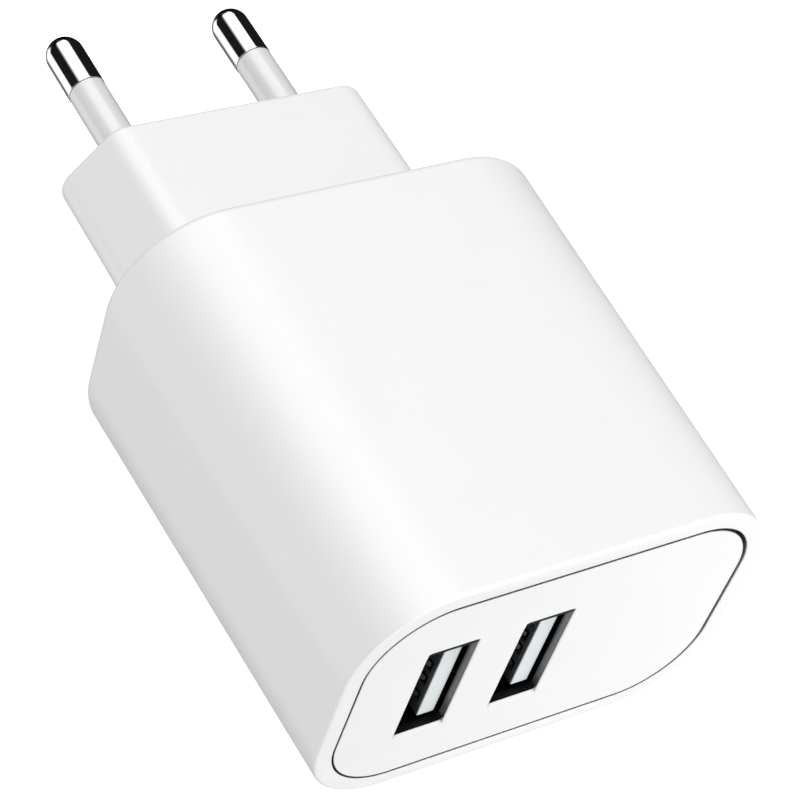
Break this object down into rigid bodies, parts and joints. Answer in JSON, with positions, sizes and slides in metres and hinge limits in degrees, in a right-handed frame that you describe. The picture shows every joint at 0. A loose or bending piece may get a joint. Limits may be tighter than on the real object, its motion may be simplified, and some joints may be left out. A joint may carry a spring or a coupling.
{
  "type": "usb wall charger",
  "caption": "Rounded white mains-to-USB wall charger with a flat two-pin plug on a long-hexagon plug body and upright USB-A ports set to one side of an inset front panel.",
  "frame": {"origin": "on the plug face, midway between the two pins", "axes": "+X across the two pins, +Y out of the plug face along the pins (into the wall), +Z through the housing's thickness; the USB ports face -Y"},
  "size_m": [0.0458, 0.0826, 0.0306],
  "materials": {
    "white_shell": "satin white moulded polycarbonate",
    "white_sleeve": "white insulating sleeve",
    "black_nylon": "matt black nylon",
    "nickel": "polished nickel-plated brass",
    "steel_sheet": "plated steel sheet",
    "gold_plate": "gold-flashed spring bronze",
    "white_insert": "white thermoplastic insert",
    "brown_wire": "brown insulation",
    "blue_wire": "blue insulation",
    "board": "green solder mask on glass-epoxy laminate",
    "ferrite": "dark grey sintered ferrite",
    "yellow_tape": "yellow polyester tape over the windings",
    "copper_wire": "enamelled copper wire",
    "can_sleeve": "dark shrink sleeve",
    "blue_disc": "blue dipped coating",
    "chip_black": "black moulded epoxy",
    "resistor_green": "green dipped coating"
  },
  "bodies": {
    "charger": {"main_housing": "white_shell", "plug_body": "white_shell", "front_panel": "white_shell", "pin_retainer": "black_nylon", "live_pin": "nickel", "live_pin_sleeve": "white_sleeve", "neutral_pin": "nickel", "neutral_pin_sleeve": "white_sleeve", "live_wire": "brown_wire", "neutral_wire": "blue_wire", "usb1_shell": "steel_sheet", "usb1_insulator": "white_insert", "usb2_shell": "steel_sheet", "usb2_insulator": "white_insert", "usb_board": "board", "main_board": "board", "board_header": "black_nylon", "input_capacitor_1": "can_sleeve", "input_capacitor_2": "can_sleeve", "transformer_core_front": "ferrite", "transformer_core_rear": "ferrite", "transformer_bobbin": "black_nylon", "transformer_winding": "yellow_tape", "surge_varistor": "resistor_green", "suppression_capacitor": "blue_disc", "fusible_resistor": "resistor_green", "filter_choke": "ferrite", "filter_choke_winding": "copper_wire", "bridge_rectifier": "chip_black", "controller_ic": "chip_black", "output_rectifier": "chip_black", "charge_control_ic": "chip_black", "output_capacitor_1": "can_sleeve", "output_capacitor_2": "can_sleeve"},
    "usb1_vbus_contact": {"usb1_vbus_contact": "gold_plate"},
    "usb1_data_minus_contact": {"usb1_data_minus_contact": "gold_plate"},
    "usb1_data_plus_contact": {"usb1_data_plus_contact": "gold_plate"},
    "usb1_ground_contact": {"usb1_ground_contact": "gold_plate"},
    "usb2_vbus_contact": {"usb2_vbus_contact": "gold_plate"},
    "usb2_data_minus_contact": {"usb2_data_minus_contact": "gold_plate"},
    "usb2_data_plus_contact": {"usb2_data_plus_contact": "gold_plate"},
    "usb2_ground_contact": {"usb2_ground_contact": "gold_plate"}
  },
  "joints": [
    {"name": "usb1_vbus_contact_flex", "type": "hinge", "parent": "charger", "child": "usb1_vbus_contact", "pos_m": [-0.01063, -0.0553, 0.0035], "axis": [0, 0, 1], "range_deg": [0, 4.5], "stiffness_Nm_per_rad": 0.06},
    {"name": "usb1_data_minus_contact_flex", "type": "hinge", "parent": "charger", "child": "usb1_data_minus_contact", "pos_m": [-0.01063, -0.0553, 0.001], "axis": [0, 0, 1], "range_deg": [0, 4.5], "stiffness_Nm_per_rad": 0.06},
    {"name": "usb1_data_plus_contact_flex", "type": "hinge", "parent": "charger", "child": "usb1_data_plus_contact", "pos_m": [-0.01063, -0.0553, -0.001], "axis": [0, 0, 1], "range_deg": [0, 4.5], "stiffness_Nm_per_rad": 0.06},
    {"name": "usb1_ground_contact_flex", "type": "hinge", "parent": "charger", "child": "usb1_ground_contact", "pos_m": [-0.01063, -0.0553, -0.0035], "axis": [0, 0, 1], "range_deg": [0, 4.5], "stiffness_Nm_per_rad": 0.06},
    {"name": "usb2_vbus_contact_flex", "type": "hinge", "parent": "charger", "child": "usb2_vbus_contact", "pos_m": [-0.00073, -0.0553, 0.0035], "axis": [0, 0, 1], "range_deg": [0, 4.5], "stiffness_Nm_per_rad": 0.06},
    {"name": "usb2_data_minus_contact_flex", "type": "hinge", "parent": "charger", "child": "usb2_data_minus_contact", "pos_m": [-0.00073, -0.0553, 0.001], "axis": [0, 0, 1], "range_deg": [0, 4.5], "stiffness_Nm_per_rad": 0.06},
    {"name": "usb2_data_plus_contact_flex", "type": "hinge", "parent": "charger", "child": "usb2_data_plus_contact", "pos_m": [-0.00073, -0.0553, -0.001], "axis": [0, 0, 1], "range_deg": [0, 4.5], "stiffness_Nm_per_rad": 0.06},
    {"name": "usb2_ground_contact_flex", "type": "hinge", "parent": "charger", "child": "usb2_ground_contact", "pos_m": [-0.00073, -0.0553, -0.0035], "axis": [0, 0, 1], "range_deg": [0, 4.5], "stiffness_Nm_per_rad": 0.06}
  ]
}
